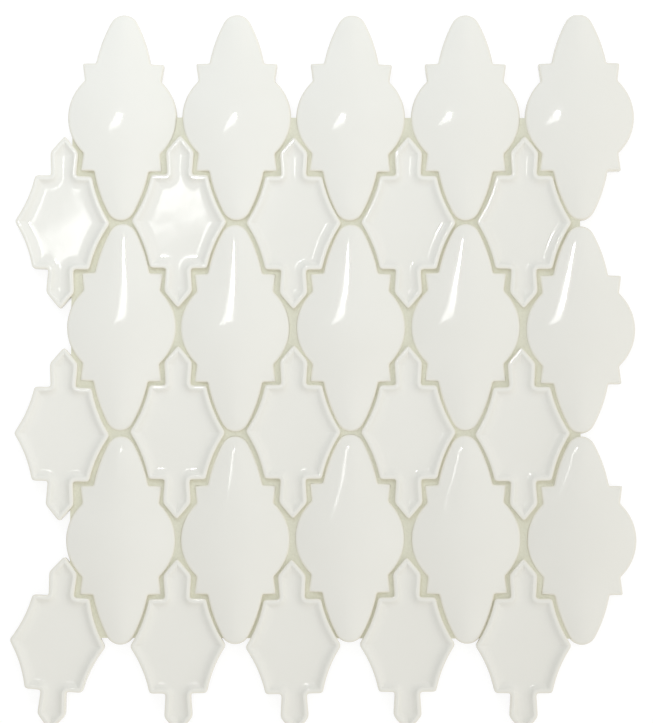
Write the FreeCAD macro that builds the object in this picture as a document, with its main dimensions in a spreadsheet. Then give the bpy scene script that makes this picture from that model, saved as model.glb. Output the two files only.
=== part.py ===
import FreeCAD, Part
import math
import os
import Sketcher

# A mosaic sheet of glazed lantern tiles, lying face up: X runs along the rows,
# Y up the columns, Z out of the face. Sizes in millimetres and degrees.
doc = FreeCAD.newDocument("ArabesqueSheet")

ROWS = 3
COLUMNS = 5
SIZES = [
    ("column_pitch", 50.0),
    ("row_pitch", 92.0),
    ("side_joint", 2.4),
    ("tip_joint", 2.2),
    ("step_joint", 1.6),
    ("flank_joint", 0.9),
    ("point_joint", 1.1),
    ("setting_play", 1.0),
    ("middle_right", 11.66),
    ("middle_up", 19.23),
    ("waist_width", 34.2),
    ("bulge_radius", 21.4),
    ("ear_span", 46.4),
    ("notch_width", 24.2),
    ("flank_radius", 60.0),
    ("flank_centre", 13.4),
    ("crown_height", 9.0),
    ("crown_edge", 5.0),
    ("dome_reach", 32.5),
    ("ridge_slope", 3.4),
    ("ridge_bend", 8.2),
    ("tip_roll", 7.0),
    ("tip_roll_radius", 24.0),
    ("lid_gap", 8.0),
    ("ear_radius", 0.6),
    ("edge_radius", 0.5),
    ("neck_width", 11.6),
    ("point_angle", 40.0),
    ("rim_height", 6.4),
    ("rim_width", 2.2),
    ("channel_width", 2.0),
    ("recess", 1.8),
    ("corner_radius", 1.0),
    ("rim_radius", 0.9),
    ("field_radius", 1.2),
    ("mesh_thickness", 0.6),
    ("mesh_inset", 3.0),
    ("grout_thickness", 3.6),
    ("grout_inset", 2.0),
]

# Sections of the crown from the middle out: share of the half length, and fullness of the ridge.
CROWN_STATIONS = [
    (0, 0.98), (0.12, 0.85), (0.24, 0.68), (0.38, 0.63), (0.54, 0.62),
    (0.68, 0.62), (0.8, 0.62), (0.9, 0.62), (0.98, 0.62), (1.04, 0.62),
]

# Hand-set tiles stand a little off the pattern: right, up and turn for each kind, row and column.
SETTING = {
    ("crowned", 1, 1): (0.1, -0.2, -0.8),
    ("crowned", 1, 3): (-0.2, -0.1, -0.7),
    ("crowned", 1, 5): (-0.1, 0.4, 0.6),
    ("crowned", 2, 1): (0.1, 0.1, -0.6),
    ("crowned", 2, 2): (-0.4, -0.2, 0.2),
    ("crowned", 2, 4): (0.0, 0.3, -0.2),
    ("crowned", 2, 5): (0.1, -0.7, 0.0),
    ("crowned", 3, 1): (0.2, -0.6, 0.0),
    ("crowned", 3, 2): (-0.1, -0.3, 0.2),
    ("crowned", 3, 3): (-0.3, 0.6, -0.3),
    ("crowned", 3, 4): (0.1, 0.0, 0.7),
    ("crowned", 3, 5): (0.3, -0.4, 0.2),
    ("framed", 1, 1): (-0.9, -0.2, -1.4),
    ("framed", 1, 2): (0.0, 0.3, -0.5),
    ("framed", 1, 3): (0.0, -0.3, 0.0),
    ("framed", 1, 5): (0.5, 0.2, -0.4),
    ("framed", 2, 1): (-0.6, -0.6, -1.4),
    ("framed", 2, 2): (-0.3, 0.3, -0.3),
    ("framed", 2, 3): (0.1, 0.6, -0.2),
    ("framed", 2, 4): (0.1, 0.5, 0.2),
    ("framed", 2, 5): (-0.3, -0.2, 0.8),
    ("framed", 3, 1): (-2.0, 0.7, -4.5),
    ("framed", 3, 2): (0.2, -0.3, 0.7),
    ("framed", 3, 3): (0.2, -0.4, 1.3),
    ("framed", 3, 4): (-0.4, 0.5, 0.3),
}

sheet = doc.addObject("Spreadsheet::Sheet", "Sizes")
for line, (alias, value) in enumerate(SIZES, 1):
    sheet.set("A%d" % line, alias)
    sheet.set("B%d" % line, str(value))
    sheet.setAlias("B%d" % line, alias)
doc.recompute()


def size(alias):
    return float(sheet.get(alias))


def point(x, y):
    return FreeCAD.Vector(x, y, 0)


def new_sketch(body, name, role):
    sketch = body.newObject("Sketcher::SketchObject", name)
    plane = [item for item in body.Origin.OriginFeatures if item.Role == role][0]
    sketch.AttachmentSupport = [(plane, "")]
    sketch.MapMode = "FlatFace"
    return sketch


def bind(sketch, kind, places, value, expression):
    """Adds a driving constraint at its present value and binds it to the sheet."""
    index = sketch.addConstraint(Sketcher.Constraint(kind, *places, value))
    sketch.setExpression("Constraints[%d]" % index, expression)


def line_from(start, end):
    return Part.LineSegment(start, end)


def arc_from(centre, start, end):
    """Arc that runs anticlockwise about its centre from start to end."""
    circle = Part.Circle(centre, FreeCAD.Vector(0, 0, 1), (start - centre).Length)
    first = math.atan2(start.y - centre.y, start.x - centre.x)
    last = math.atan2(end.y - centre.y, end.x - centre.x)
    if last < first:
        last += 2 * math.pi
    return Part.ArcOfCircle(circle, first, last)


def mirror_corners(sketch, corners):
    """Ties the four like corners of an outline to both axes of the sketch."""
    upper_right, upper_left, lower_left, lower_right = corners
    sketch.addConstraint(Sketcher.Constraint("Symmetric", *upper_right, *upper_left, -2))
    sketch.addConstraint(Sketcher.Constraint("Symmetric", *upper_right, *lower_right, -1))
    sketch.addConstraint(Sketcher.Constraint("Symmetric", *upper_left, *lower_left, -1))


def round_edges(body, name, base, wanted, alias):
    """Rounds the edges of base that wanted() picks, at a radius from the sheet."""
    picked = ["Edge%d" % (i + 1) for i, edge in enumerate(base.Shape.Edges) if wanted(edge)]
    fillet = body.newObject("PartDesign::Fillet", name)
    fillet.Base = (base, picked)
    fillet.Radius = size(alias)
    fillet.setExpression("Radius", "Sizes." + alias)
    base.Visibility = False
    doc.recompute()
    return fillet


def is_upright(edge):
    return isinstance(edge.Curve, Part.Line) and abs(edge.tangentAt(edge.FirstParameter).z) > 0.999


def lies_at(height):
    return lambda edge: all(
        abs(edge.valueAt(t).z - height) < 1e-4
        for t in (edge.FirstParameter, edge.LastParameter))


def crowned_outline(sketch):
    """Lantern with a round bulge each side, stepped ears and a round tip at each end."""
    half_width = (size("column_pitch") - size("side_joint")) / 2
    half_length = (size("row_pitch") - size("tip_joint")) / 2
    ear_x = (size("column_pitch") - size("neck_width")) / 2 - size("step_joint")
    ear_y = size("ear_span") / 2
    notch_x = size("notch_width") / 2
    bulge_r = size("bulge_radius")
    bulge_x = half_width - bulge_r
    waist_x = size("waist_width") / 2
    waist_y = math.sqrt(bulge_r ** 2 - (waist_x - bulge_x) ** 2)
    flank_r = size("flank_radius")
    flank_y = size("flank_centre")
    flank_x = notch_x - math.sqrt(flank_r ** 2 - (ear_y - flank_y) ** 2)
    spare = flank_r - half_length
    tip_y = (flank_x ** 2 + flank_y ** 2 - spare ** 2) / (2 * (spare + flank_y))
    to_tip = point(-flank_x, tip_y - flank_y)
    meet = point(flank_x, flank_y) + to_tip * (flank_r / to_tip.Length)

    edges = []
    for side in (1, -1):
        waist = point(side * waist_x, side * waist_y)
        ear = point(side * ear_x, side * ear_y)
        notch = point(side * notch_x, side * ear_y)
        edges += [
            arc_from(point(side * bulge_x, 0), point(waist.x, -waist.y), waist),
            line_from(waist, ear),
            line_from(ear, notch),
            arc_from(point(side * flank_x, side * flank_y), notch, meet * side),
            arc_from(point(0, side * tip_y), meet * side, point(-side * meet.x, side * meet.y)),
            arc_from(point(-side * flank_x, side * flank_y),
                     point(-side * meet.x, side * meet.y), point(-notch.x, notch.y)),
            line_from(point(-notch.x, notch.y), point(-ear.x, ear.y)),
            line_from(point(-ear.x, ear.y), point(-waist.x, waist.y)),
        ]
    sketch.addGeometry(edges, False)
    for edge in range(16):
        after = (edge + 1) % 16
        kind = "Tangent" if {edge % 8, after % 8} in ({3, 4}, {4, 5}) else "Coincident"
        sketch.addConstraint(Sketcher.Constraint(kind, edge, 2, after, 1))
    mirror_corners(sketch, [(0, 2), (7, 2), (8, 2), (15, 2)])
    mirror_corners(sketch, [(1, 2), (6, 2), (9, 2), (14, 2)])
    mirror_corners(sketch, [(2, 2), (5, 2), (10, 2), (13, 2)])
    sketch.addConstraint(Sketcher.Constraint("Horizontal", 2))
    sketch.addConstraint(Sketcher.Constraint("Equal", 0, 8))
    sketch.addConstraint(Sketcher.Constraint("Equal", 4, 12))
    for other in (5, 11, 13):
        sketch.addConstraint(Sketcher.Constraint("Equal", 3, other))
    for tip_arc in (4, 12):
        sketch.addConstraint(Sketcher.Constraint("PointOnObject", tip_arc, 3, -2))
    bind(sketch, "Radius", (0,), bulge_r, "Sizes.bulge_radius")
    bind(sketch, "Radius", (3,), flank_r, "Sizes.flank_radius")
    bind(sketch, "DistanceY", (-1, 1, 3, 3), flank_y, "Sizes.flank_centre")
    bind(sketch, "DistanceX", (7, 2, 0, 2), 2 * waist_x, "Sizes.waist_width")
    bind(sketch, "DistanceX", (6, 2, 1, 2), 2 * ear_x,
         "Sizes.column_pitch - Sizes.neck_width - 2 * Sizes.step_joint")
    bind(sketch, "DistanceY", (14, 2, 1, 2), 2 * ear_y, "Sizes.ear_span")
    bind(sketch, "DistanceX", (5, 2, 2, 2), 2 * notch_x, "Sizes.notch_width")
    marks = sketch.addGeometry(
        [Part.Point(point(half_width, 0)), Part.Point(point(0, half_length)),
         Part.Point(point(0, -half_length))], True)
    for mark, edge, axis in zip(marks, (0, 4, 12), (-1, -2, -2)):
        sketch.addConstraint(Sketcher.Constraint("PointOnObject", mark, 1, edge))
        sketch.addConstraint(Sketcher.Constraint("PointOnObject", mark, 1, axis))
    bind(sketch, "DistanceX", (-1, 1, marks[0], 1), half_width,
         "(Sizes.column_pitch - Sizes.side_joint) / 2")
    bind(sketch, "DistanceY", (-1, 1, marks[1], 1), half_length,
         "(Sizes.row_pitch - Sizes.tip_joint) / 2")
    bind(sketch, "DistanceY", (marks[2], 1, -1, 1), half_length,
         "(Sizes.row_pitch - Sizes.tip_joint) / 2")


def crown_section(sketch, along, keen):
    """What lies above the crown across the tile: a round ridge with straight flanks.

    along is the section's distance from the middle as a share of the half length. The ridge falls
    off along the tile as a hyperbola that rolls down at the tip. The flanks reach the edge's height
    at a half-width that falls off as a bell curve. keen is how near the ridge is to one full arc."""
    half_length = (size("row_pitch") - size("tip_joint")) / 2
    half_width = (size("column_pitch") - size("side_joint")) / 2
    away = along * half_length
    bend = size("ridge_bend")
    past = max(away - half_length + size("tip_roll"), 0)
    ridge = (size("crown_height") - past ** 2 / (2 * size("tip_roll_radius"))
             - math.tan(math.radians(size("ridge_slope"))) * (math.hypot(bend, away) - bend))
    rise = ridge - size("crown_edge")
    half = half_width * math.exp(-(away / size("dome_reach")) ** 2)
    round_r = keen * half ** 2 / (2 * rise)
    lean = 2 * math.atan((half - math.sqrt(half ** 2 - rise * (2 * round_r - rise)))
                         / (2 * round_r - rise))
    leave = point(round_r * math.sin(lean), ridge - round_r * (1 - math.cos(lean)))
    end_x = half_width + 2
    end = point(end_x, leave.y - (end_x - leave.x) * math.tan(lean))
    lid = size("crown_height") + size("lid_gap")

    def left(spot):
        return point(-spot.x, spot.y)

    sketch.addGeometry([
        line_from(end, leave),
        arc_from(point(0, ridge - round_r), leave, left(leave)),
        line_from(left(leave), left(end)),
        line_from(left(end), point(-end_x, lid)),
        line_from(point(-end_x, lid), point(end_x, lid)),
        line_from(point(end_x, lid), end),
    ], False)
    for edge in range(6):
        kind = "Tangent" if edge < 2 else "Coincident"
        sketch.addConstraint(Sketcher.Constraint(kind, edge, 2, (edge + 1) % 6, 1))
    sketch.addConstraint(Sketcher.Constraint("Symmetric", 0, 1, 2, 2, -2))
    sketch.addConstraint(Sketcher.Constraint("Symmetric", 4, 1, 4, 2, -2))
    sketch.addConstraint(Sketcher.Constraint("Vertical", 5))
    sketch.addConstraint(Sketcher.Constraint("PointOnObject", 1, 3, -2))
    top, edge_mark = sketch.addGeometry(
        [Part.Point(point(0, ridge)), Part.Point(point(half, size("crown_edge")))], True)
    sketch.addConstraint(Sketcher.Constraint("PointOnObject", top, 1, -2))
    sketch.addConstraint(Sketcher.Constraint("PointOnObject", top, 1, 1))
    sketch.addConstraint(Sketcher.Constraint("PointOnObject", edge_mark, 1, 0))
    away_words = "(%g * (Sizes.row_pitch - Sizes.tip_joint) / 2)" % along
    past_words = "max(%s - (Sizes.row_pitch - Sizes.tip_joint) / 2 + Sizes.tip_roll; 0)" % away_words
    ridge_words = ("(Sizes.crown_height - %s ^ 2 / (2 * Sizes.tip_roll_radius)"
                   " - tan(Sizes.ridge_slope) * (sqrt(Sizes.ridge_bend ^ 2 + %s ^ 2)"
                   " - Sizes.ridge_bend))" % (past_words, away_words))
    half_words = ("((Sizes.column_pitch - Sizes.side_joint) / 2"
                  " / exp((%s / Sizes.dome_reach) ^ 2))" % away_words)
    bind(sketch, "DistanceY", (-1, 1, top, 1), ridge, ridge_words)
    bind(sketch, "DistanceX", (-1, 1, edge_mark, 1), half, half_words)
    bind(sketch, "DistanceY", (-1, 1, edge_mark, 1), size("crown_edge"), "Sizes.crown_edge")
    bind(sketch, "Radius", (1,), round_r,
         "%g * %s ^ 2 / (2 * (%s - Sizes.crown_edge))" % (keen, half_words, ridge_words))
    bind(sketch, "DistanceX", (-1, 1, 4, 2), end_x,
         "(Sizes.column_pitch - Sizes.side_joint) / 2 + 2")
    bind(sketch, "DistanceY", (-1, 1, 4, 2), lid, "Sizes.crown_height + Sizes.lid_gap")


def crowned_tile(name):
    """Pressed lantern tile with a domed face: outline raised, then cut to the lofted crown."""
    body = doc.addObject("PartDesign::Body", name)
    outline = new_sketch(body, name + "_outline", "XY_Plane")
    crowned_outline(outline)
    pad = body.newObject("PartDesign::Pad", name + "_blank")
    pad.Profile = outline
    pad.setExpression("Length", "Sizes.crown_height + 1")
    doc.recompute()
    clear = size("notch_width") / 2 - 0.1
    corners = round_edges(
        body, name + "_corners", pad,
        lambda edge: is_upright(edge) and abs(edge.Vertexes[0].X) > clear, "ear_radius")
    sections = []
    last = len(CROWN_STATIONS) - 1
    for station in range(-last, last + 1):
        section = new_sketch(body, "%s_section_%d" % (name, station + last + 1), "XZ_Plane")
        share, keen = CROWN_STATIONS[abs(station)]
        ahead = share if station > 0 else -share
        section.setExpression("AttachmentOffset.Base.z",
                              "%g * (Sizes.row_pitch - Sizes.tip_joint) / 2" % -ahead)
        crown_section(section, share, keen)
        sections.append(section)
    doc.recompute()
    crown = body.newObject("PartDesign::SubtractiveLoft", name + "_crown")
    crown.Profile = sections[0]
    crown.Sections = sections[1:]
    corners.Visibility = False
    doc.recompute()

    def rims_the_crown(edge):
        kinds = [face.Surface.TypeId for face in crown.Shape.ancestorsOfType(edge, Part.Face)]
        walls = [kind in ("Part::GeomPlane", "Part::GeomCylinder") for kind in kinds]
        return sum(walls) == 1 and len(walls) == 2

    round_edges(body, name + "_edge", crown, rims_the_crown, "edge_radius")
    return body, corners


def framed_outline(sketch, inset, less):
    """Star with a pointed neck at both ends, a joint's width from the lanterns around it.

    inset moves the whole line in by one distance, and less is that distance in the sheet's words."""
    shoulder_y = (size("row_pitch") - size("ear_span")) / 2 - size("step_joint") - inset
    neck_x = size("neck_width") / 2 - inset
    flank_r = size("flank_radius") + size("flank_joint") + inset
    reach = math.sqrt(size("flank_radius") ** 2 - (size("ear_span") / 2 - size("flank_centre")) ** 2)
    flank = point((size("column_pitch") - size("notch_width")) / 2 + reach,
                  size("row_pitch") / 2 - size("flank_centre"))
    shoulder_x = flank.x - math.sqrt(flank_r ** 2 - (flank.y - shoulder_y) ** 2)
    side_x = flank.x - math.sqrt(flank_r ** 2 - flank.y ** 2)
    bulge = point(size("side_joint") / 2 + size("bulge_radius"), size("row_pitch") / 2)
    bulge_r = size("bulge_radius") + size("point_joint") + inset
    angle = math.radians(size("point_angle"))
    tip_y = bulge.y - (bulge_r - bulge.x * math.cos(angle)) / math.sin(angle)
    neck_y = tip_y - neck_x / math.tan(angle)

    edges = []
    for up in (1, -1):
        shoulder = point(up * shoulder_x, up * shoulder_y)
        root = point(up * neck_x, up * shoulder_y)
        neck = point(up * neck_x, up * neck_y)
        tip = point(0, up * tip_y)

        def across(spot):
            return point(-spot.x, spot.y)

        edges += [
            arc_from(flank * up, shoulder, point(up * side_x, 0)),
            line_from(shoulder, root),
            line_from(root, neck),
            line_from(neck, tip),
            line_from(tip, across(neck)),
            line_from(across(neck), across(root)),
            line_from(across(root), across(shoulder)),
            arc_from(across(flank * up), point(-up * side_x, 0), across(shoulder)),
        ]
    sketch.addGeometry(edges, False)
    ends = [(2, 1) if edge % 8 in (0, 7) else (1, 2) for edge in range(16)]
    for edge in range(16):
        after = (edge + 1) % 16
        sketch.addConstraint(
            Sketcher.Constraint("Coincident", edge, ends[edge][1], after, ends[after][0]))
    mirror_corners(sketch, [(1, 1), (6, 2), (9, 1), (14, 2)])
    mirror_corners(sketch, [(1, 2), (6, 1), (9, 2), (14, 1)])
    mirror_corners(sketch, [(2, 2), (5, 1), (10, 2), (13, 1)])
    sketch.addConstraint(Sketcher.Constraint("PointOnObject", 0, 2, -1))
    sketch.addConstraint(Sketcher.Constraint("Symmetric", 0, 2, 8, 2, -2))
    sketch.addConstraint(Sketcher.Constraint("PointOnObject", 3, 2, -2))
    sketch.addConstraint(Sketcher.Constraint("Symmetric", 3, 2, 11, 2, -1))
    sketch.addConstraint(Sketcher.Constraint("Horizontal", 1))
    sketch.addConstraint(Sketcher.Constraint("Vertical", 2))
    for other in (7, 8, 15):
        sketch.addConstraint(Sketcher.Constraint("Equal", 0, other))
    bind(sketch, "Radius", (0,), flank_r, "Sizes.flank_radius + Sizes.flank_joint + " + less)
    bind(sketch, "DistanceX", (-1, 1, 0, 3), flank.x,
         "(Sizes.column_pitch - Sizes.notch_width) / 2"
         " + sqrt(Sizes.flank_radius ^ 2 - (Sizes.ear_span / 2 - Sizes.flank_centre) ^ 2)")
    bind(sketch, "DistanceY", (-1, 1, 0, 3), flank.y, "Sizes.row_pitch / 2 - Sizes.flank_centre")
    bind(sketch, "DistanceY", (-1, 1, 1, 1), shoulder_y,
         "(Sizes.row_pitch - Sizes.ear_span) / 2 - Sizes.step_joint - " + less)
    bind(sketch, "DistanceX", (-1, 1, 1, 2), neck_x, "Sizes.neck_width / 2 - " + less)
    bind(sketch, "Angle", (3,), math.pi / 2 + angle, "90 + Sizes.point_angle")
    ring = sketch.addGeometry(Part.Circle(bulge, FreeCAD.Vector(0, 0, 1), bulge_r), True)
    bind(sketch, "Radius", (ring,), bulge_r, "Sizes.bulge_radius + Sizes.point_joint + " + less)
    bind(sketch, "DistanceX", (-1, 1, ring, 3), bulge.x,
         "Sizes.side_joint / 2 + Sizes.bulge_radius")
    bind(sketch, "DistanceY", (-1, 1, ring, 3), bulge.y, "Sizes.row_pitch / 2")
    sketch.addConstraint(Sketcher.Constraint("Tangent", 3, ring))


def framed_tile(name):
    """Pressed star tile with a raised rim that slopes to a sunk field, and a channel up each neck."""
    body = doc.addObject("PartDesign::Body", name)
    outline = new_sketch(body, name + "_outline", "XY_Plane")
    framed_outline(outline, 0, "0")
    pad = body.newObject("PartDesign::Pad", name + "_blank")
    pad.Profile = outline
    pad.setExpression("Length", "Sizes.rim_height")
    doc.recompute()
    corners = round_edges(body, name + "_corners", pad, is_upright, "corner_radius")
    brink = new_sketch(body, name + "_brink", "XY_Plane")
    brink.setExpression("AttachmentOffset.Base.z", "Sizes.rim_height")
    framed_outline(brink, size("rim_width"), "Sizes.rim_width")
    field = new_sketch(body, name + "_field_line", "XY_Plane")
    field.setExpression("AttachmentOffset.Base.z", "Sizes.rim_height - Sizes.recess")
    framed_outline(field, (size("neck_width") - size("channel_width")) / 2,
                   "(Sizes.neck_width - Sizes.channel_width) / 2")
    doc.recompute()
    hollow = body.newObject("PartDesign::SubtractiveLoft", name + "_hollow")
    hollow.Profile = brink
    hollow.Sections = [field]
    hollow.Ruled = True
    corners.Visibility = False
    doc.recompute()
    rim = round_edges(body, name + "_rim", hollow, lies_at(size("rim_height")), "rim_radius")
    floor = size("rim_height") - size("recess")
    round_edges(body, name + "_cove", rim, lies_at(floor), "field_radius")
    return body, corners


def clone_of(feature, name):
    """A body of its own with the shape of another body's feature."""
    body = doc.addObject("PartDesign::Body", name)
    casting = doc.addObject("PartDesign::FeatureBase", name + "_casting")
    body.Group = [casting]
    casting.BaseFeature = feature
    body.Tip = casting
    return body


def set_in_pattern(body, kind, row, column):
    """Beds a body on the mesh at its place in the pattern, half a pitch off for a star.

    The middle lantern stands right of and above the middle of the sheet."""
    half = 0.5 if kind == "framed" else 0
    right, up, turn = SETTING.get((kind, row, column), (0, 0, 0))
    body.setExpression(
        "Placement.Base.x", "%g * Sizes.column_pitch + %g * Sizes.setting_play + Sizes.middle_right"
        % (column - 3 - half, right))
    body.setExpression(
        "Placement.Base.y", "%g * Sizes.row_pitch + %g * Sizes.setting_play + Sizes.middle_up"
        % (2 - row - half, up))
    body.setExpression("Placement.Base.z", "Sizes.mesh_thickness")
    body.setExpression("Placement.Rotation.Angle", "%g * Sizes.setting_play" % turn)


# Every tile of a kind comes from one mould. Its bed is the tile's plain block, for the grout.
tiles = []
beds = []
for kind, mould in (("crowned", crowned_tile), ("framed", framed_tile)):
    first = None
    for row in range(1, ROWS + 1):
        for column in range(1, COLUMNS + 1):
            name = "%s_tile_r%d_c%d" % (kind, row, column)
            if first is None:
                first, block = mould(name)
                tile = first
            else:
                tile = clone_of(first.Tip, name)
            bed = clone_of(block, name + "_bed")
            set_in_pattern(tile, kind, row, column)
            set_in_pattern(bed, kind, row, column)
            tiles.append(tile)
            beds.append(bed)
doc.recompute()

# Glass-fibre net that carries the tiles: a plain rectangle, cut short of the grout.
mesh = doc.addObject("Part::Box", "mesh_backing")
# Grout between the tiles, struck off straight at the sheet's edges.
slab = doc.addObject("Part::Box", "grout_slab")
for box, inset, low, high in (
        (mesh, "Sizes.mesh_inset", "0", "Sizes.mesh_thickness"),
        (slab, "Sizes.grout_inset", "Sizes.mesh_thickness", "Sizes.grout_thickness")):
    box.setExpression("Length", "4.5 * Sizes.column_pitch - Sizes.side_joint / 2 - " + inset)
    box.setExpression("Width", "2.5 * Sizes.row_pitch - Sizes.tip_joint / 2 - " + inset)
    box.setExpression("Height", high)
    box.setExpression("Placement.Base.x", "Sizes.middle_right - 2.5 * Sizes.column_pitch"
                      " + Sizes.side_joint / 2 + " + inset)
    box.setExpression("Placement.Base.y", "Sizes.middle_up - 1.5 * Sizes.row_pitch"
                      " + Sizes.tip_joint / 2 + " + inset)
    box.setExpression("Placement.Base.z", low)
bedded = doc.addObject("Part::Compound", "bedded_tiles")
bedded.Links = beds
grout = doc.addObject("Part::Cut", "grout_joints")
grout.Base = slab
grout.Tool = bedded
doc.recompute()

for item in doc.Objects:
    if "Invalid" in item.State or "Error" in item.State:
        raise RuntimeError("%s did not build" % item.Name)
os.makedirs("parts", exist_ok=True)
for item in tiles + [mesh, grout]:
    if item.Shape.isNull() or not item.Shape.isValid():
        raise RuntimeError("%s has no valid shape" % item.Name)
    item.Label = item.Name
    item.Shape.exportStep("parts/%s.step" % item.Label)
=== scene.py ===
import math

import bpy
import numpy as np
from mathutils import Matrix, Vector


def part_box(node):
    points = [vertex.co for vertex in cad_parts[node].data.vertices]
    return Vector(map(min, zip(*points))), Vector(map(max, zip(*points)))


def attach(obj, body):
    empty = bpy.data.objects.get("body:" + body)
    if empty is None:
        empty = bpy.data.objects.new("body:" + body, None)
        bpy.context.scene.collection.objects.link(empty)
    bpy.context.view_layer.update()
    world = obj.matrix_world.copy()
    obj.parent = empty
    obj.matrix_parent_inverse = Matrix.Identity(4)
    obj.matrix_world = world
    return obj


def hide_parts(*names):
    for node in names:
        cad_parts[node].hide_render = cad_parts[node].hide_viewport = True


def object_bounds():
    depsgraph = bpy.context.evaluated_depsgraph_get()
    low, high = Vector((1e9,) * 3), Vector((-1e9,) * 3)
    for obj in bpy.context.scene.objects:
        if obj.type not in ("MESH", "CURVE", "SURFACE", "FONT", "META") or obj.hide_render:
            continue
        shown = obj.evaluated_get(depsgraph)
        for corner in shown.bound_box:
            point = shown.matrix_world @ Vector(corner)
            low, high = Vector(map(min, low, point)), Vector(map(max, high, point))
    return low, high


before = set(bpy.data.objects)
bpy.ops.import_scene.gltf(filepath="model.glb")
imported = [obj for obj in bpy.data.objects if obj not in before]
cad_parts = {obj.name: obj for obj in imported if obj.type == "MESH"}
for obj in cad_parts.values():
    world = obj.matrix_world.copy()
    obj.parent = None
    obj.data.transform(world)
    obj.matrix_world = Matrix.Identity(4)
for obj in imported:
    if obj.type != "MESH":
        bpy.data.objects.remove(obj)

cad_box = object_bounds()

# Crowned lantern tiles. Fifteen pressed stoneware lanterns with a domed face and stepped
# ears, dipped in ivory glaze and fired. Each is stuck to the net by hand, so some stand askew.
# Sizes are in millimetres about the tile's own middle, with the long axis along y.
MM = 0.001
ROWS = 3
COLUMNS = 5
SPOTS = [(row, column) for row in range(1, ROWS + 1) for column in range(1, COLUMNS + 1)]
COLUMN_PITCH = 50.0
ROW_PITCH = 92.0
SIDE_JOINT = 2.4
TIP_JOINT = 1.6
BULGE_RADIUS = 21.4
WAIST_X = 16.7
EAR_X = 17.85
EAR_Y = 23.65
FLANK_RADIUS = 59.9
FLANK_X = -47.1
FLANK_Y = 13.4
LANTERN_HALF_WIDTH = (COLUMN_PITCH - SIDE_JOINT) / 2
LANTERN_HALF_LENGTH = (ROW_PITCH - TIP_JOINT) / 2
LANTERN_EASE = 0.5
ARC_POINTS = 400
LINE_POINTS = 480
FINE_STEPS = 16


def arc(centre_x, centre_y, radius, first, last):
    """Points of a circle's arc: centre plus radius times the cosine and sine of even angles."""
    angle = np.linspace(first, last, ARC_POINTS)
    return np.stack([centre_x + radius * np.cos(angle), centre_y + radius * np.sin(angle)], 1)


def eased_line(corner, ease):
    """Closed outline from its upper right quarter, mirrored in both axes and evenly spaced.

    The line is averaged along its length by a bell curve of ease mm, which rounds the corners."""
    upper = np.concatenate([corner, corner[::-1] * (-1, 1)])
    whole = np.concatenate([upper, -upper, corner[:1]])
    length = np.concatenate([[0], np.cumsum(np.hypot(*np.diff(whole, axis=0).T))])
    fine_count = LINE_POINTS * FINE_STEPS
    step = length[-1] / fine_count
    along = np.arange(fine_count) * step
    fine = np.interp(along, length, whole[:, 0]) + 1j * np.interp(along, length, whole[:, 1])
    offset = np.minimum(along, length[-1] - along)
    bell = np.exp(-0.5 * (offset / ease) ** 2)
    eased = np.fft.ifft(np.fft.fft(fine) * np.fft.fft(bell / bell.sum()))[::FINE_STEPS]
    return np.stack([eased.real, eased.imag], 1)


def lantern_line():
    """Lantern's quarter: a bulge arc, a slanted waist, a level ear, a flank arc and a tip arc."""
    bulge_x = LANTERN_HALF_WIDTH - BULGE_RADIUS
    waist = math.acos((WAIST_X - bulge_x) / BULGE_RADIUS)
    spare = FLANK_RADIUS - LANTERN_HALF_LENGTH
    tip_y = (FLANK_X ** 2 + FLANK_Y ** 2 - spare ** 2) / (2 * (spare + FLANK_Y))
    meet = math.atan2(tip_y - FLANK_Y, -FLANK_X)
    notch = math.asin((EAR_Y - FLANK_Y) / FLANK_RADIUS)
    return eased_line(np.concatenate([
        arc(bulge_x, 0, BULGE_RADIUS, 0, waist),
        [(EAR_X, EAR_Y)],
        arc(FLANK_X, FLANK_Y, FLANK_RADIUS, notch, meet),
        arc(0, tip_y, LANTERN_HALF_LENGTH - tip_y, meet, math.pi / 2),
    ]), LANTERN_EASE)


CROWN_HEIGHT = 9.0
CROWN_EDGE = 5.0
LEAST_RISE = 0.3
RIDGE_BEND = 4.9
RIDGE_SLOPE = math.tan(math.radians(3.7))
TIP_ROLL = 7.0
TIP_ROLL_RADIUS = 24.0
DOME_REACH = 40.0
TIP_BREADTH = 0.67
ADDED_BREADTH = 0.32
BREADTH_REACH = 11.5


def crown(x, y):
    """Height of the domed face above the tile's back.

    The ridge falls off along the tile as a hyperbola that rolls down at the tip. Across it the
    face is a hyperbola from the ridge to the edge height, at a half-width that falls off along
    the tile as a bell curve. It is broad in the middle and keener towards the tips."""
    past = np.maximum(np.abs(y) - LANTERN_HALF_LENGTH + TIP_ROLL, 0)
    fall = RIDGE_SLOPE * (np.hypot(RIDGE_BEND, y) - RIDGE_BEND)
    ridge = CROWN_HEIGHT - fall - past ** 2 / (2 * TIP_ROLL_RADIUS)
    rise = np.maximum(ridge - CROWN_EDGE, LEAST_RISE)
    half = LANTERN_HALF_WIDTH * np.exp(-(y / DOME_REACH) ** 2)
    broad = TIP_BREADTH + ADDED_BREADTH * np.exp(-(y / BREADTH_REACH) ** 2)
    across = np.sqrt(broad ** 2 + 4 * (1 - broad) * (x / half) ** 2) - broad
    return ridge - rise * across / (2 * (1 - broad))


def edge_distance(points, line):
    """Least distance from each point to the segments of a closed line."""
    flat = points.reshape(-1, 1, 2)
    span = np.roll(line, -1, 0) - line
    share = np.clip(((flat - line) * span).sum(2) / (span ** 2).sum(1), 0, 1)
    apart = line + share[..., None] * span - flat
    return np.sqrt((apart ** 2).sum(2).min(1)).reshape(points.shape[:-1])


SPINE_REACH = 0.72
RING_POWER = 1.15
TURN_POINTS = 3.0


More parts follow.
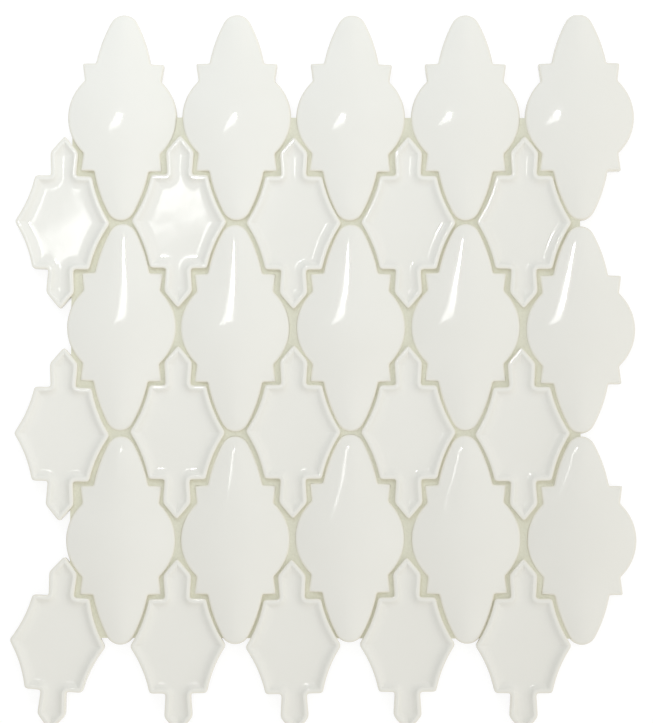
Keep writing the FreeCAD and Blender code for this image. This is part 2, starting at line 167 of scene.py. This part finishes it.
def face_grid(line, depths, inner_rings):
    """Rings of points from the outline in, and each point's distance from the outline.

    The first rings lie square to the line, at the given depths. The others go straight to the
    spine, which lies on the long axis at a share of each point's height on it. The square
    directions are averaged along the line by a bell curve of a few points."""
    ahead = np.roll(line, -1, 0) - np.roll(line, 1, 0)
    inward = -ahead[:, 1] + 1j * ahead[:, 0]
    spread = np.minimum(np.arange(LINE_POINTS), LINE_POINTS - np.arange(LINE_POINTS))
    bell = np.exp(-0.5 * (spread / TURN_POINTS) ** 2)
    inward = np.fft.ifft(np.fft.fft(inward / np.abs(inward)) * np.fft.fft(bell))
    inward = np.stack([inward.real, inward.imag], 1) / np.abs(inward)[:, None]
    edge = line[None] + np.array(depths)[:, None, None] * inward[None]
    spine = line * (0, SPINE_REACH)
    share = np.linspace(0, 1, inner_rings + 1)[1:, None, None] ** RING_POWER
    inner = edge[-1] + share * (spine - edge[-1])
    plan = np.concatenate([edge, inner])
    distance = edge_distance(plan, line)
    distance[0] = 0
    return plan, distance


def rounded_edge(distance, reach, depth):
    """Drop of a face near its edge: a quarter ellipse, reach mm wide and depth mm deep."""
    short = 1 - np.minimum(distance / reach, 1)
    return depth * (1 - np.sqrt(1 - short ** 2))


def linear(code):
    """Linear colour of an sRGB hex code."""
    parts = [int(code[i:i + 2], 16) / 255 for i in (1, 3, 5)]
    return [c / 12.92 if c <= 0.04045 else ((c + 0.055) / 1.055) ** 2.4 for c in parts] + [1.0]


def node(tree, kind, settings=None, inputs=None, links=None):
    """Adds a node: settings are its properties, inputs its values, links its feeding sockets."""
    made = tree.nodes.new(kind)
    for key, value in (settings or {}).items():
        setattr(made, key, value)
    for key, value in (inputs or {}).items():
        made.inputs[key].default_value = value
    for key, source in (links or {}).items():
        tree.links.new(source, made.inputs[key])
    return made


def new_material(name):
    """Material of that name and its node tree, still empty."""
    material = bpy.data.materials.new(name)
    material.use_nodes = True
    material.node_tree.nodes.clear()
    return material, material.node_tree


# Ivory glaze: a thick, clear-topped tin glaze, fired smooth. It lies a little unevenly and
# runs thin on the edges, where the cream clay shows through.
CLOUD_SIZE = 28.0
RIPPLE_SIZE = 9.0
RIPPLE_DEPTH = 0.03
glaze, tree = new_material("ivory_tin_glaze")
place = node(tree, "ShaderNodeTexCoord").outputs["Object"]
edge_share = node(tree, "ShaderNodeAttribute", {"attribute_name": "thin_glaze"}).outputs["Fac"]
clouds = node(tree, "ShaderNodeTexNoise", inputs={"Scale": 1 / (CLOUD_SIZE * MM), "Detail": 2.0},
              links={"Vector": place})
tint = node(tree, "ShaderNodeMix", {"data_type": "RGBA"},
            {"A": linear("#ECEAE0"), "B": linear("#F0EEE5")}, {"Factor": clouds.outputs["Fac"]})
thin = node(tree, "ShaderNodeMix", {"data_type": "RGBA"}, {"B": linear("#EDE9DB")},
            {"Factor": edge_share, "A": tint.outputs["Result"]})
ripple = node(tree, "ShaderNodeTexNoise", inputs={"Scale": 1 / (RIPPLE_SIZE * MM), "Detail": 1.0},
              links={"Vector": place})
bump = node(tree, "ShaderNodeBump", inputs={"Strength": 1.0, "Distance": RIPPLE_DEPTH * MM},
            links={"Height": ripple.outputs["Fac"]})
shader = node(tree, "ShaderNodeBsdfPrincipled", inputs={"Roughness": 0.07, "IOR": 1.52},
              links={"Base Color": thin.outputs["Result"], "Normal": bump.outputs["Normal"]})
node(tree, "ShaderNodeOutputMaterial", links={"Surface": shader.outputs["BSDF"]})


def grainy_material(name, grain, detail, dark, pale, relief, depth, roughness, ior):
    """Dull material whose colour and bump follow one noise. grain and depth are in mm."""
    material, tree = new_material(name)
    place = node(tree, "ShaderNodeTexCoord").outputs["Object"]
    noise = node(tree, "ShaderNodeTexNoise", inputs={"Scale": 1 / (grain * MM), "Detail": detail},
                 links={"Vector": place})
    tint = node(tree, "ShaderNodeMix", {"data_type": "RGBA"},
                {"A": linear(dark), "B": linear(pale)}, {"Factor": noise.outputs["Fac"]})
    bump = node(tree, "ShaderNodeBump", inputs={"Strength": relief, "Distance": depth * MM},
                links={"Height": noise.outputs["Fac"]})
    shader = node(tree, "ShaderNodeBsdfPrincipled", inputs={"Roughness": roughness, "IOR": ior},
                  links={"Base Color": tint.outputs["Result"], "Normal": bump.outputs["Normal"]})
    node(tree, "ShaderNodeOutputMaterial", links={"Surface": shader.outputs["BSDF"]})
    return material


# Unglazed biscuit: the tile's pressed clay on its back and foot, chalky and dull. The real
# grain is too fine to show, so it is drawn coarser.
biscuit = grainy_material("unglazed_stoneware_biscuit", grain=1.2, detail=4.0, dark="#D9D2C3",
                          pale="#E6E0D3", relief=0.5, depth=0.1, roughness=0.85, ior=1.5)
FOOT = 0.7
SHARP_ANGLE = math.radians(50)


def add_object(name, data):
    """New object of that name in the scene."""
    made = bpy.data.objects.new(name, data)
    bpy.context.scene.collection.objects.link(made)
    return made


def tile_mesh(name, plan, height, thin_share, turn):
    """Closed mesh of a tile: the face's rings, an upright wall, a foot and a flat back.

    plan and height are ring by ring. The last ring is the spine, where both sides meet, and
    the back is the outline joined to the same spine. Every ring is joined to the next. What
    would stand past the sheet's box is held at it."""
    count = height.shape[1]
    centre = np.add(*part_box(name)) / 2 / MM
    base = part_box(name)[0][2] / MM
    levels = np.concatenate([height[::-1], [[FOOT] * count, [0.0] * count, [0.0] * count]])
    plans = np.concatenate([plan[::-1], plan[:1], plan[:1], plan[-1:]])
    shares = np.concatenate([thin_share[::-1], np.ones((3, count))])
    swing = np.exp(1j * math.radians(turn))
    turned = (plans[..., 0] + 1j * plans[..., 1]) * swing
    points = np.stack([turned.real + centre[0], turned.imag + centre[1], levels + base], 2)
    points = np.clip(points, *np.array(cad_box) / MM)
    index = np.arange(points.shape[0] * count).reshape(-1, count)
    here = np.arange(count)
    mirror = (count // 2 - here) % count
    left = (here > count // 4) & (here < 3 * count // 4)
    for seam in (0, -1):
        index[seam] = np.where(left, index[seam][mirror], index[seam])
    after = np.roll(index, -1, 1)
    quads = np.stack([index[:-1], index[1:], after[1:], after[:-1]], 2)
    used, packed = np.unique(quads, return_inverse=True)
    mesh = bpy.data.meshes.new(name + "_glazed")
    mesh.from_pydata(points.reshape(-1, 3)[used] * MM, [], packed.reshape(-1, 4))
    attribute = mesh.attributes.new("thin_glaze", "FLOAT", "POINT")
    attribute.data.foreach_set("value", shares.reshape(-1)[used].astype(np.float32))
    mesh.materials.append(glaze)
    mesh.materials.append(biscuit)
    clay = np.zeros(quads.shape[:2], np.int32)
    clay[-2:] = 1
    mesh.polygons.foreach_set("material_index", clay.reshape(-1))
    mesh.polygons.foreach_set("use_smooth", np.ones(clay.size, bool))
    mesh.set_sharp_from_angle(angle=SHARP_ANGLE)
    mesh.update()
    piece = add_object(name + "_glazed", mesh)
    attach(piece, "root")
    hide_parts(name)


WAVES = 6
SHORT_WAVE = 14
LONG_WAVE = 30


def ripples(points, seed, depth):
    """Unevenness of a poured glaze: the mean of a few sine waves of random way, length and phase."""
    random = np.random.default_rng(seed)
    angle = random.uniform(0, 2 * math.pi, WAVES)
    wave = 2 * math.pi / random.uniform(SHORT_WAVE, LONG_WAVE, WAVES)
    phase = random.uniform(0, 2 * math.pi, WAVES)
    push = points[..., 0, None] * np.cos(angle) * wave + points[..., 1, None] * np.sin(angle) * wave
    return depth * np.sin(push + phase).mean(-1)


LANTERN_TURNS = {
    (1, 1): -0.8, (1, 3): -0.7, (1, 5): 0.6,
    (2, 1): -0.6, (2, 2): 0.2, (2, 4): -0.2,
    (3, 2): 0.2, (3, 3): -0.3, (3, 4): 0.7, (3, 5): 0.2,
}
# They also lean, so the light stands elsewhere on each: rise per mm to the right and up.
LANTERN_LEANS = {
    (1, 1): (-0.034, -0.010), (1, 2): (0.005, -0.012), (1, 3): (0.007, -0.009),
    (1, 4): (-0.006, -0.006), (1, 5): (-0.009, 0.002),
    (2, 1): (0.009, 0.003), (2, 2): (-0.009, -0.004), (2, 3): (0.005, 0.001),
    (2, 4): (0.000, 0.009), (2, 5): (-0.001, 0.008),
    (3, 1): (0.002, 0.001), (3, 2): (0.006, -0.013), (3, 3): (-0.001, -0.011),
    (3, 4): (0.004, 0.000), (3, 5): (0.020, 0.012),
}
LANTERN_DEPTHS = [0, 0.04, 0.12, 0.24, 0.4, 0.6, 0.85, 1.15, 1.5]
LANTERN_RINGS = 13
LANTERN_EDGE_REACH = 0.9
LANTERN_EDGE_DEPTH = 0.7
LANTERN_THIN_REACH = 0.7
LANTERN_UNEVEN = 0.05
LANTERN_SETBACK = 0.12
lantern_outline = lantern_line()
plan, distance = face_grid(lantern_outline, LANTERN_DEPTHS, LANTERN_RINGS)
dome = crown(plan[..., 0], plan[..., 1])
dome = dome - rounded_edge(distance, LANTERN_EDGE_REACH, LANTERN_EDGE_DEPTH)
thin_share = np.exp(-(distance / LANTERN_THIN_REACH) ** 2)
for row, column in SPOTS:
    uneven = ripples(plan, 10 * row + column, LANTERN_UNEVEN)
    height = dome + plan @ LANTERN_LEANS[row, column] + uneven - LANTERN_SETBACK
    tile_mesh("crowned_tile_r%d_c%d" % (row, column), plan, height, thin_share,
              LANTERN_TURNS.get((row, column), 0))

# Framed star tiles. Fifteen pressed stars with a raised rim that slopes to a sunk field and
# runs as a channel up each pointed neck. They fill the gaps between the lanterns.
NECK_WIDTH = 10.8
POINT_WIDTH = 12.2
SHOULDER_Y = 20.4
SIDE_X = 20.85
SIDE_RADIUS = 53.0
SIDE_Y = 30.0
POINT_JOINT = 1.1
POINT_ANGLE = math.radians(40)
STAR_EASE = 0.95
RIM_HEIGHT = 6.4
RECESS = 1.8
SLOPE_START = 1.6
SLOPE_REACH = 1.4
SLOPE_POWER = 1.4


def star_line():
    """Star's quarter: a hollow side arc, a level shoulder, a flared neck and a slanted point."""
    arc_x = SIDE_X + math.sqrt(SIDE_RADIUS ** 2 - SIDE_Y ** 2)
    bulge_x = SIDE_JOINT / 2 + BULGE_RADIUS
    tip_y = ROW_PITCH / 2 - (BULGE_RADIUS + POINT_JOINT
                             - bulge_x * math.cos(POINT_ANGLE)) / math.sin(POINT_ANGLE)
    point_x = POINT_WIDTH / 2
    side = math.pi + math.asin(SIDE_Y / SIDE_RADIUS)
    shoulder = math.pi + math.asin((SIDE_Y - SHOULDER_Y) / SIDE_RADIUS)
    return eased_line(np.concatenate([
        arc(arc_x, SIDE_Y, SIDE_RADIUS, side, shoulder),
        [(NECK_WIDTH / 2, SHOULDER_Y), (point_x, tip_y - point_x / math.tan(POINT_ANGLE)), (0, tip_y)],
    ]), STAR_EASE)


def frame_section(distance):
    """Height of the rim by distance from the edge: a level rim, then a fall to the sunk field.

    The fall is one less an exponential of a power, so it is steep at first and runs out slowly."""
    past = np.maximum(distance - SLOPE_START, 0) / SLOPE_REACH
    return RIM_HEIGHT - RECESS * (1 - np.exp(-past ** SLOPE_POWER))


STAR_TURNS = {
    (1, 1): -1.4, (1, 2): -0.5, (1, 5): -0.4,
    (2, 1): -1.4, (2, 2): -0.3, (2, 3): -0.2, (2, 4): 0.2, (2, 5): 0.8,
    (3, 1): -4.5, (3, 2): 0.7, (3, 3): 1.3, (3, 4): 0.3,
}
# Two stars lean, as the lanterns do.
STAR_LEANS = {(1, 1): (0.022, -0.006), (1, 2): (0.0, -0.006)}
STAR_DEPTHS = [0, 0.05, 0.16, 0.34, 0.6, 0.95, 1.4]
STAR_RINGS = 18
STAR_EDGE_REACH = 1.2
STAR_EDGE_DEPTH = 0.4
STAR_THIN_REACH = 0.6
STAR_UNEVEN = 0.025
STAR_SEED = 100
STAR_SETBACK = 0.06
star_outline = star_line()
plan, distance = face_grid(star_outline, STAR_DEPTHS, STAR_RINGS)
section = frame_section(distance)
edge_drop = rounded_edge(distance, STAR_EDGE_REACH, STAR_EDGE_DEPTH)
thin_share = np.exp(-(distance / STAR_THIN_REACH) ** 2)
for row, column in SPOTS:
    uneven = ripples(plan, STAR_SEED + 10 * row + column, STAR_UNEVEN)
    height = section + uneven - STAR_SETBACK - edge_drop
    height = height + plan @ STAR_LEANS.get((row, column), (0.0, 0.0))
    tile_mesh("framed_tile_r%d_c%d" % (row, column), plan, height, thin_share,
              STAR_TURNS.get((row, column), 0))

# Sanded cement grout between the tiles, struck off below their faces and wiped with a sponge: dull
# and faintly speckled. It climbs a little up the tiles and sags between them. Its sand is drawn
# coarser than the real grains, which are too fine to show.
sand = grainy_material("sanded_cement_grout", grain=0.8, detail=3.0, dark="#D8D6C0",
                       pale="#E5E3CF", relief=0.7, depth=0.3, roughness=0.9, ior=1.5)
GRID = 0.5
FAR_GAP = 3.0
LEAST_SLOPE = 0.2
WALL_OVERLAP = 0.08
GROUT_LIFT = 1.1
SAG_DEPTH = 0.25
SAG_REACH = 0.5
GROUT_SEED = 7
GROUT_UNEVEN = 0.06
GROUT_FINENESS = 8


def is_inside(points, line):
    """Whether points lie in a closed line: an odd number of its segments lie right of them."""
    flat = points.reshape(-1, 1, 2)
    start_x, start_y = line.T
    end_x, end_y = np.roll(line, -1, 0).T
    level = flat[..., 1]
    spans = (start_y > level) != (end_y > level)
    steep = np.where(end_y == start_y, 1, end_y - start_y)
    crossing = start_x + (level - start_y) / steep * (end_x - start_x)
    return ((spans & (crossing > flat[..., 0])).sum(1) % 2 == 1).reshape(points.shape[:-1])


def gap_table(line):
    """Distance from a tile's outline on a grid of GRID mm about its centre, below zero inside.

    Every second point of the outline is enough for it."""
    reach = np.ceil(np.abs(line).max(0)) + FAR_GAP
    axes = [np.arange(-far, far + GRID / 2, GRID) for far in reach]
    points = np.stack(np.meshgrid(*axes, indexing="ij"), 2)
    coarse = line[::2]
    away = edge_distance(points, coarse)
    return np.where(is_inside(points, coarse), -away, away)


def read_table(table, points):
    """Table's value at points about its centre, mixed from the four nearest, and far beyond it."""
    place = points / GRID + (np.array(table.shape) - 1) / 2
    within = ((place >= 0) & (place < np.array(table.shape) - 1)).all(-1)
    corner = np.where(within[..., None], place, 0).astype(int)
    i, j = np.moveaxis(corner, -1, 0)
    right, up = np.moveaxis(place - corner, -1, 0)
    value = ((table[i, j] * (1 - right) + table[i + 1, j] * right) * (1 - up)
             + (table[i, j + 1] * (1 - right) + table[i + 1, j + 1] * right) * up)
    return np.where(within, value, FAR_GAP)


low, high = np.array(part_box("grout_joints")) / MM
axes = [np.linspace(low[i], high[i], round((high[i] - low[i]) / GRID) + 1) for i in (0, 1)]
plan = np.stack(np.meshgrid(*axes, indexing="ij"), 2)
gap = np.full(plan.shape[:2], FAR_GAP)
TILE_KINDS = {
    "crowned": (lantern_outline, LANTERN_TURNS),
    "framed": (star_outline, STAR_TURNS),
}
for kind, (outline, turns) in TILE_KINDS.items():
    table = gap_table(outline)
    for row, column in SPOTS:
        centre = np.add(*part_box("%s_tile_r%d_c%d" % (kind, row, column))) / 2 / MM
        about = (plan[..., 0] - centre[0]) + 1j * (plan[..., 1] - centre[1])
        about *= np.exp(-1j * math.radians(turns.get((row, column), 0)))
        gap = np.minimum(gap, read_table(table, np.stack([about.real, about.imag], 2)))

# The cells with a corner between the tiles are kept, and their other corners go to the tile's wall.
uphill = np.stack(np.gradient(gap, GRID), 2)
uphill /= np.maximum(np.hypot(*np.moveaxis(uphill, 2, 0)), LEAST_SLOPE)[..., None]
plan = plan + np.minimum(gap + WALL_OVERLAP, 0)[..., None] * -uphill
plan = np.clip(plan, low[:2], high[:2])
open_corner = gap > 0
kept = open_corner[:-1, :-1] | open_corner[1:, :-1] | open_corner[1:, 1:] | open_corner[:-1, 1:]
index = np.arange(gap.size).reshape(gap.shape)
top = np.stack([index[:-1, :-1], index[1:, :-1], index[1:, 1:], index[:-1, 1:]], 2)[kept]
start = top.reshape(-1)
end = np.roll(top, -1, 1).reshape(-1)
rim = ~np.isin(start * gap.size + end, end * gap.size + start)
start, end = start[rim], end[rim]
below = gap.size
walls = np.stack([end, start, start + below, end + below], 1)
faces = np.concatenate([top, top[:, ::-1] + below, walls])
sag = SAG_DEPTH * (1 - np.exp(-np.maximum(gap, 0) / SAG_REACH))
sag = sag - ripples(plan * GROUT_FINENESS, GROUT_SEED, GROUT_UNEVEN)
surface = np.concatenate([plan.reshape(-1, 2), (high[2] + GROUT_LIFT - sag).reshape(-1, 1)], 1)
floor_side = np.concatenate([plan.reshape(-1, 2), np.full((gap.size, 1), low[2])], 1)
used, packed = np.unique(faces, return_inverse=True)
mesh = bpy.data.meshes.new("grout_joints_sanded")
mesh.from_pydata(np.concatenate([surface, floor_side])[used] * MM, [], packed.reshape(-1, 4))
mesh.polygons.foreach_set("use_smooth", np.ones(len(faces), bool))
mesh.set_sharp_from_angle(angle=SHARP_ANGLE)
mesh.materials.append(sand)
grout = add_object("grout_joints_sanded", mesh)
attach(grout, "root")
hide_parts("grout_joints")

# Glass-fibre net glued to the backs of the tiles: flat threads woven over and under each other,
# with a coating that gives them a faint sheen. Their strands are drawn coarser than real fibres,
# which are too fine to show.
yarn = grainy_material("coated_glass_fibre_yarn", grain=0.5, detail=3.0, dark="#D6DAD2",
                       pale="#EEF0EA", relief=0.5, depth=0.08, roughness=0.42, ior=1.55)
NET_PITCH = 5.0
THREAD_WIDTH = 1.4
THREAD_THICKNESS = 0.3


def threads(across, along, first):
    """Points of parallel threads: a flat diamond carried along each, up and down as a cosine.

    across and along are the places of the threads and of the threads that they cross. first
    is whether the first crossing of the first thread is over or under."""
    steps = np.arange(2 * len(along) - 1) / 2
    run = np.interp(steps, np.arange(len(along)), along)
    over = first * np.cos(math.pi * (steps[None] + np.arange(len(across))[:, None]))
    lift = (1 + over) * THREAD_THICKNESS / 2 + THREAD_THICKNESS / 2
    corner_x = np.array([-1, 0, 1, 0]) * THREAD_WIDTH / 2
    corner_z = np.array([0, -1, 0, 1]) * THREAD_THICKNESS / 2
    shape = (len(across), len(steps), 4)
    side = np.broadcast_to(across[:, None, None] + corner_x, shape)
    length = np.broadcast_to(run[None, :, None], shape)
    return side, length, lift[..., None] + corner_z


def thread_faces(count, steps):
    """Four sides between each two rings of a thread, and an end face at each end."""
    ring = np.arange(count * steps * 4).reshape(count, steps, 4)
    after = np.roll(ring, -1, 2)
    sides = np.stack([ring[:, :-1], after[:, :-1], after[:, 1:], ring[:, 1:]], 3)
    return np.concatenate([sides.reshape(-1, 4), ring[:, 0, ::-1], ring[:, -1]])


low, high = np.array(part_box("mesh_backing")) / MM
inset = THREAD_WIDTH / 2
places = [np.linspace(low[i] + inset, high[i] - inset, round((high[i] - low[i]) / NET_PITCH))
          for i in (0, 1)]
warp_x, warp_y, warp_z = threads(places[0], places[1], 1)
weft_y, weft_x, weft_z = threads(places[1], places[0], -1)
warp = np.stack([warp_x, warp_y, warp_z], 3)
weft = np.stack([weft_x, weft_y, weft_z], 3)
warp_faces = thread_faces(*warp.shape[:2])[:, ::-1]
weft_faces = thread_faces(*weft.shape[:2]) + warp.size // 3
mesh = bpy.data.meshes.new("mesh_backing_woven")
mesh.from_pydata(np.concatenate([warp.reshape(-1, 3), weft.reshape(-1, 3)]) * MM, [],
                 np.concatenate([warp_faces, weft_faces]))
mesh.materials.append(yarn)
net = add_object("mesh_backing_woven", mesh)
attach(net, "root")
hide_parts("mesh_backing")

# Studio floor: white paper. Most of what the camera and the gloss see of it is a plain white
# glow, so that it stays white round the part with a faint shadow. Sizes are in metres from here.
FLOOR_REACH = 2
FLOOR_GLOW = 1.08
FLOOR_GLOW_SHARE = 0.8


def backdrop_rays(tree):
    """Socket that is one for camera, glossy and transmission rays, and nought for the others."""
    path = node(tree, "ShaderNodeLightPath")
    seen = node(tree, "ShaderNodeMath", {"operation": "MAXIMUM"},
                links={0: path.outputs["Is Camera Ray"], 1: path.outputs["Is Glossy Ray"]})
    seen = node(tree, "ShaderNodeMath", {"operation": "MAXIMUM"},
                links={0: seen.outputs[0], 1: path.outputs["Is Transmission Ray"]})
    return seen.outputs[0]


mesh = bpy.data.meshes.new("floor")
mesh.from_pydata([(-FLOOR_REACH, -FLOOR_REACH, 0), (FLOOR_REACH, -FLOOR_REACH, 0),
                  (FLOOR_REACH, FLOOR_REACH, 0), (-FLOOR_REACH, FLOOR_REACH, 0)], [], [(0, 1, 2, 3)])
paper, tree = new_material("white_paper_floor")
seen = backdrop_rays(tree)
matt = node(tree, "ShaderNodeBsdfDiffuse", inputs={"Color": linear("#F4F4F2")})
shown = node(tree, "ShaderNodeEmission", inputs={"Color": linear("#FFFFFF"), "Strength": FLOOR_GLOW})
part_shown = node(tree, "ShaderNodeMath", {"operation": "MULTIPLY"}, {1: FLOOR_GLOW_SHARE}, {0: seen})
blend = node(tree, "ShaderNodeMixShader",
             links={0: part_shown.outputs[0], 1: matt.outputs["BSDF"], 2: shown.outputs["Emission"]})
node(tree, "ShaderNodeOutputMaterial", links={"Surface": blend.outputs["Shader"]})
mesh.materials.append(paper)
floor = add_object("floor", mesh)

# Lamps: a softbox high at the upper left, with a brighter bulb below it that shows only in the
# gloss, and a cool window past the top edge that lights only the body colour.
SOFTBOX_CORNERS = [(-0.302, 0.139, 1.17), (-0.097, 0.202, 1.17), (-0.073, 0.321, 1.17),
                   (-0.143, 0.340, 1.17)]
SOFTBOX_STRENGTH = 6.5
BULB_CORNERS = [(-0.14, 0.275, 1.16), (-0.09, 0.275, 1.16), (-0.09, 0.325, 1.16),
                (-0.14, 0.325, 1.16)]
BULB_STRENGTH = 90.0


def lit_pane(name, material_name, corners, strength):
    """Four-cornered pane that gives off white light and is out of the camera's sight."""
    mesh = bpy.data.meshes.new(name)
    mesh.from_pydata(corners, [], [(0, 3, 2, 1)])
    material, tree = new_material(material_name)
    glow = node(tree, "ShaderNodeEmission", inputs={"Color": linear("#FFFFFF"), "Strength": strength})
    node(tree, "ShaderNodeOutputMaterial", links={"Surface": glow.outputs["Emission"]})
    mesh.materials.append(material)
    pane = add_object(name, mesh)
    pane.visible_camera = False
    return pane


softbox = lit_pane("softbox", "softbox_diffuser", SOFTBOX_CORNERS, SOFTBOX_STRENGTH)
bulb = lit_pane("bulb", "frosted_bulb_glass", BULB_CORNERS, BULB_STRENGTH)
bulb.visible_diffuse = False

lamp = bpy.data.lights.new("window", "AREA")
lamp.size = 0.3
lamp.energy = 1.15
lamp.color = (0.86, 0.98, 1.14)
window = add_object("window", lamp)
window.location = (-0.2, 0.42, 0.5)
window.visible_glossy = False

# Room: pale walls all round that light the part, a little brighter on the right and below.
# Behind the part and in its gloss the room is even and white.
WALL_LEVEL = 0.79
WALL_SLANT = (0.36, -0.14, 0.0)
BACKDROP_LEVEL = 1.0
room = bpy.data.worlds.new("room")
room.use_nodes = True
tree = room.node_tree
tree.nodes.clear()
seen = backdrop_rays(tree)
way = node(tree, "ShaderNodeTexCoord").outputs["Generated"]
side = node(tree, "ShaderNodeVectorMath", {"operation": "DOT_PRODUCT"}, {1: WALL_SLANT}, {0: way})
walls = node(tree, "ShaderNodeMath", {"operation": "ADD"}, {1: WALL_LEVEL}, {0: side.outputs["Value"]})
level = node(tree, "ShaderNodeMix", {"data_type": "FLOAT"}, {"B": BACKDROP_LEVEL},
             {"Factor": seen, "A": walls.outputs[0]})
light = node(tree, "ShaderNodeBackground", inputs={"Color": linear("#FFFFFF")},
             links={"Strength": level.outputs["Result"]})
node(tree, "ShaderNodeOutputWorld", links={"Surface": light.outputs["Background"]})
bpy.context.scene.world = room
bpy.context.scene.view_settings.view_transform = "Standard"

# Camera: almost straight above, tilted by three degrees, on a long lens. It aims a little above
# the middle of the sheet, whose bottom points touch the lower edge of the picture.
camera_data = bpy.data.cameras.new("camera")
camera_data.lens = 159.7
camera = add_object("camera", camera_data)
camera.location = (0.0012, -0.0686, 1.4)
camera.rotation_euler = (math.radians(3), 0, math.radians(0.09))
bpy.context.scene.camera = camera
